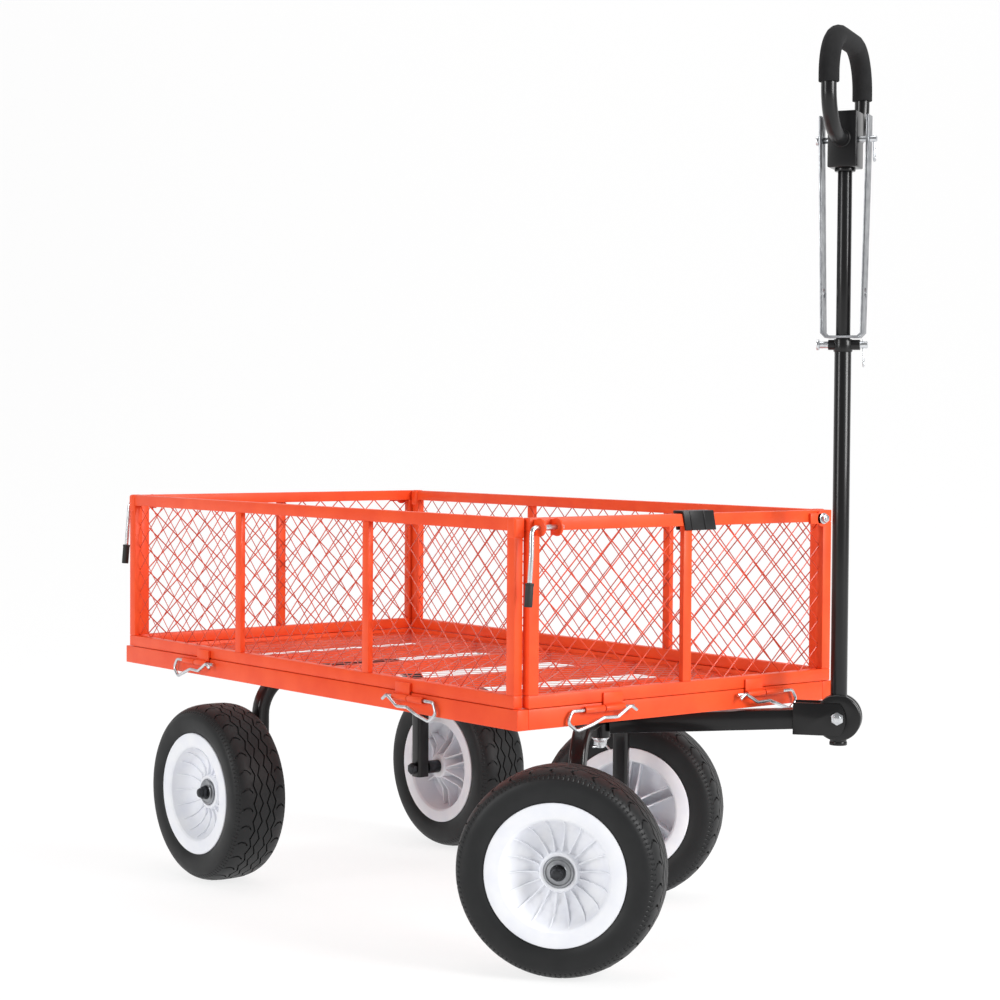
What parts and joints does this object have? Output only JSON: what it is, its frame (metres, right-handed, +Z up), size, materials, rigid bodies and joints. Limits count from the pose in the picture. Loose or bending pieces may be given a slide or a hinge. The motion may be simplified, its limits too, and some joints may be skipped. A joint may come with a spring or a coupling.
{
  "type": "garden cart",
  "caption": "Steel mesh garden cart with fold-down sides, steered front axle, pneumatic tyres and a fold-down drawbar with padded loop handle and tow strap.",
  "frame": {"origin": "bottom centre of the bounding box, on the ground", "axes": "+Z up, +X to the cart's right when the drawbar end is nearest, drawbar end toward -Y"},
  "size_m": [0.7462, 1.4224, 1.5056],
  "materials": {
    "powder_coated_steel_orange": "satin powder coat",
    "powder_coated_steel_black": "gloss powder coat",
    "zinc_plated_steel": "bright zinc plate",
    "tyre_rubber": "matt moulded rubber",
    "moulded_plastic_white": "satin moulded",
    "moulded_plastic_black": "satin moulded",
    "foam_rubber": "matt closed-cell foam",
    "rubber_sleeve": "matt"
  },
  "bodies": {
    "deck": {"deck_frame": "powder_coated_steel_orange", "deck_mesh": "powder_coated_steel_orange", "rear_axle_frame": "powder_coated_steel_black", "stub_axle_rear_left": "zinc_plated_steel", "stub_axle_rear_right": "zinc_plated_steel", "pivot_plate": "powder_coated_steel_black", "kingpin": "zinc_plated_steel", "hinge_pin_front_left": "zinc_plated_steel", "hinge_pin_front_right": "zinc_plated_steel", "hinge_pin_rear_left": "zinc_plated_steel", "hinge_pin_rear_right": "zinc_plated_steel", "hinge_pin_left_front": "zinc_plated_steel", "hinge_pin_left_rear": "zinc_plated_steel", "hinge_pin_right_front": "zinc_plated_steel", "hinge_pin_right_rear": "zinc_plated_steel"},
    "front_axle": {"front_axle_frame": "powder_coated_steel_black", "stub_axle_front_left": "zinc_plated_steel", "stub_axle_front_right": "zinc_plated_steel", "tongue": "powder_coated_steel_black", "knee_bolt": "zinc_plated_steel"},
    "pole": {"pole_lower": "powder_coated_steel_black", "pole_upper": "powder_coated_steel_black", "tow_pin": "zinc_plated_steel", "tow_pin_clip": "zinc_plated_steel", "head_block": "powder_coated_steel_black", "grip_loop": "powder_coated_steel_black", "foam_grip": "foam_rubber", "strap_pin": "zinc_plated_steel", "strap_pin_clip": "zinc_plated_steel"},
    "tow_strap": {"tow_strap": "zinc_plated_steel"},
    "panel_front": {"panel_frame_front": "powder_coated_steel_orange", "panel_mesh_front": "powder_coated_steel_orange", "corner_bolt_front": "zinc_plated_steel", "rail_clip": "moulded_plastic_black"},
    "panel_rear": {"panel_frame_rear": "powder_coated_steel_orange", "panel_mesh_rear": "powder_coated_steel_orange", "corner_bolt_rear": "zinc_plated_steel"},
    "panel_left": {"panel_frame_left": "powder_coated_steel_orange", "panel_mesh_left": "powder_coated_steel_orange"},
    "panel_right": {"panel_frame_right": "powder_coated_steel_orange", "panel_mesh_right": "powder_coated_steel_orange"},
    "latch_front": {"latch_lever_front": "zinc_plated_steel", "latch_tip_front": "rubber_sleeve"},
    "latch_rear": {"latch_lever_rear": "zinc_plated_steel", "latch_tip_rear": "rubber_sleeve"},
    "wheel_rear_left": {"tyre_rear_left": "tyre_rubber", "rim_rear_left": "moulded_plastic_white", "hub_bearing_rear_left": "zinc_plated_steel"},
    "wheel_rear_right": {"tyre_rear_right": "tyre_rubber", "rim_rear_right": "moulded_plastic_white", "hub_bearing_rear_right": "zinc_plated_steel"},
    "wheel_front_left": {"tyre_front_left": "tyre_rubber", "rim_front_left": "moulded_plastic_white", "hub_bearing_front_left": "zinc_plated_steel"},
    "wheel_front_right": {"tyre_front_right": "tyre_rubber", "rim_front_right": "moulded_plastic_white", "hub_bearing_front_right": "zinc_plated_steel"}
  },
  "joints": [
    {"name": "steer", "type": "hinge", "parent": "deck", "child": "front_axle", "pos_m": [0, -0.32179, 0.38], "axis": [0, 0, 1], "range_deg": [-77.4, 2.2]},
    {"name": "knee_fold", "type": "hinge", "parent": "front_axle", "child": "pole", "pos_m": [0.24345, -0.63791, 0.381], "axis": [0.7923, 0.6101, 0], "range_deg": [0, 105]},
    {"name": "strap_swing", "type": "hinge", "parent": "pole", "child": "tow_strap", "pos_m": [0.24345, -0.63791, 1.327], "axis": [-0.4863, 0.8738, 0], "range_deg": [0, 180]},
    {"name": "wheel_spin_rear_left", "type": "hinge", "parent": "deck", "child": "wheel_rear_left", "pos_m": [-0.284, 0.44521, 0.165], "axis": [1, 0, 0], "continuous": true},
    {"name": "wheel_spin_rear_right", "type": "hinge", "parent": "deck", "child": "wheel_rear_right", "pos_m": [0.284, 0.44521, 0.165], "axis": [1, 0, 0], "continuous": true},
    {"name": "wheel_spin_front_left", "type": "hinge", "parent": "front_axle", "child": "wheel_front_left", "pos_m": [-0.24006, -0.50666, 0.165], "axis": [0.7923, 0.6101, 0], "continuous": true},
    {"name": "wheel_spin_front_right", "type": "hinge", "parent": "front_axle", "child": "wheel_front_right", "pos_m": [0.24006, -0.13691, 0.165], "axis": [0.7923, 0.6101, 0], "continuous": true},
    {"name": "fold_front", "type": "hinge", "parent": "deck", "child": "panel_front", "pos_m": [0, -0.53229, 0.416], "axis": [1, 0, 0], "range_deg": [0, 12]},
    {"name": "fold_rear", "type": "hinge", "parent": "deck", "child": "panel_rear", "pos_m": [0, 0.69071, 0.416], "axis": [-1, 0, 0], "range_deg": [0, 110]},
    {"name": "fold_left", "type": "hinge", "parent": "deck", "child": "panel_left", "pos_m": [-0.353, 0.07921, 0.416], "axis": [0, -1, 0], "range_deg": [0, 110]},
    {"name": "fold_right", "type": "hinge", "parent": "deck", "child": "panel_right", "pos_m": [0.353, 0.07921, 0.416], "axis": [0, 1, 0], "range_deg": [0, 110]},
    {"name": "latch_front_turn", "type": "hinge", "parent": "panel_front", "child": "latch_front", "pos_m": [-0.299, -0.53879, 0.703], "axis": [-1, 0, 0], "range_deg": [0, 170]},
    {"name": "latch_rear_turn", "type": "hinge", "parent": "panel_rear", "child": "latch_rear", "pos_m": [-0.299, 0.69721, 0.703], "axis": [1, 0, 0], "range_deg": [0, 170]}
  ]
}
